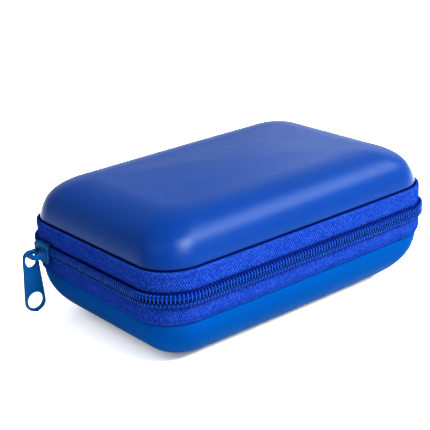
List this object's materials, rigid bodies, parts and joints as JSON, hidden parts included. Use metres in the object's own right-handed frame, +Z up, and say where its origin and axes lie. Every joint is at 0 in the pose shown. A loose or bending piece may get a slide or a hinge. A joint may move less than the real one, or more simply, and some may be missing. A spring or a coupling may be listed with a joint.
{
  "type": "zippered hard-shell carrying case",
  "caption": "Small oblong hard-shell case with a moulded lid and bowl, a zip round three sides, a fabric hinge along the back and a hanging pull tab.",
  "frame": {"origin": "centre of the flat base, on the surface that the case stands on", "axes": "+X along the long side, +Y towards the fabric hinge, +Z up through the lid"},
  "size_m": [0.1651, 0.1045, 0.0629],
  "materials": {
    "skin": "smooth satin coated fabric with a fine grain",
    "foam": "dense moulded foam, cut edges bare",
    "lining": "brushed knitted lining",
    "binding": "folded woven tape",
    "tape": "woven zip tape with a visible rib",
    "coil": "semi-gloss nylon filament",
    "thread": "twisted sewing thread",
    "spine": "coated woven fabric",
    "slider": "die-cast, gloss paint worn thin on the edges"
  },
  "bodies": {
    "base": {"lower_skin": "skin", "lower_foam_shell": "foam", "lower_lining": "lining", "lower_edge_binding": "binding", "lower_zip_tape": "tape", "lower_coil": "coil", "lower_seam_thread": "thread", "spine_fabric": "spine", "spine_lining": "lining", "zip_end_patch_left": "skin", "zip_end_patch_right": "skin"},
    "lid": {"upper_skin": "skin", "upper_foam_shell": "foam", "upper_lining": "lining", "upper_edge_binding": "binding", "upper_zip_tape": "tape", "upper_coil": "coil", "upper_seam_thread": "thread"},
    "slider": {"slider_body": "slider"},
    "tab": {"pull_tab": "slider"}
  },
  "joints": [
    {"name": "lid_hinge", "type": "hinge", "parent": "base", "child": "lid", "pos_m": [0, 0.0513, 0.0334], "axis": [-1, 0, 0], "range_deg": [0, 180], "deforming": ["spine_fabric", "spine_lining", "zip_end_patch_left", "zip_end_patch_right"]},
    {"name": "zip_slide", "type": "slide", "parent": "base", "child": "slider", "axis": [0, -1, 0], "range_m": [0, 0.0636], "deforming": ["upper_coil", "lower_coil"]},
    {"name": "pull_tab_swing", "type": "hinge", "parent": "slider", "child": "tab", "pos_m": [-0.08355, 0.0318, 0.0334], "axis": [0, 1, 0], "range_deg": [-16, 164]}
  ]
}
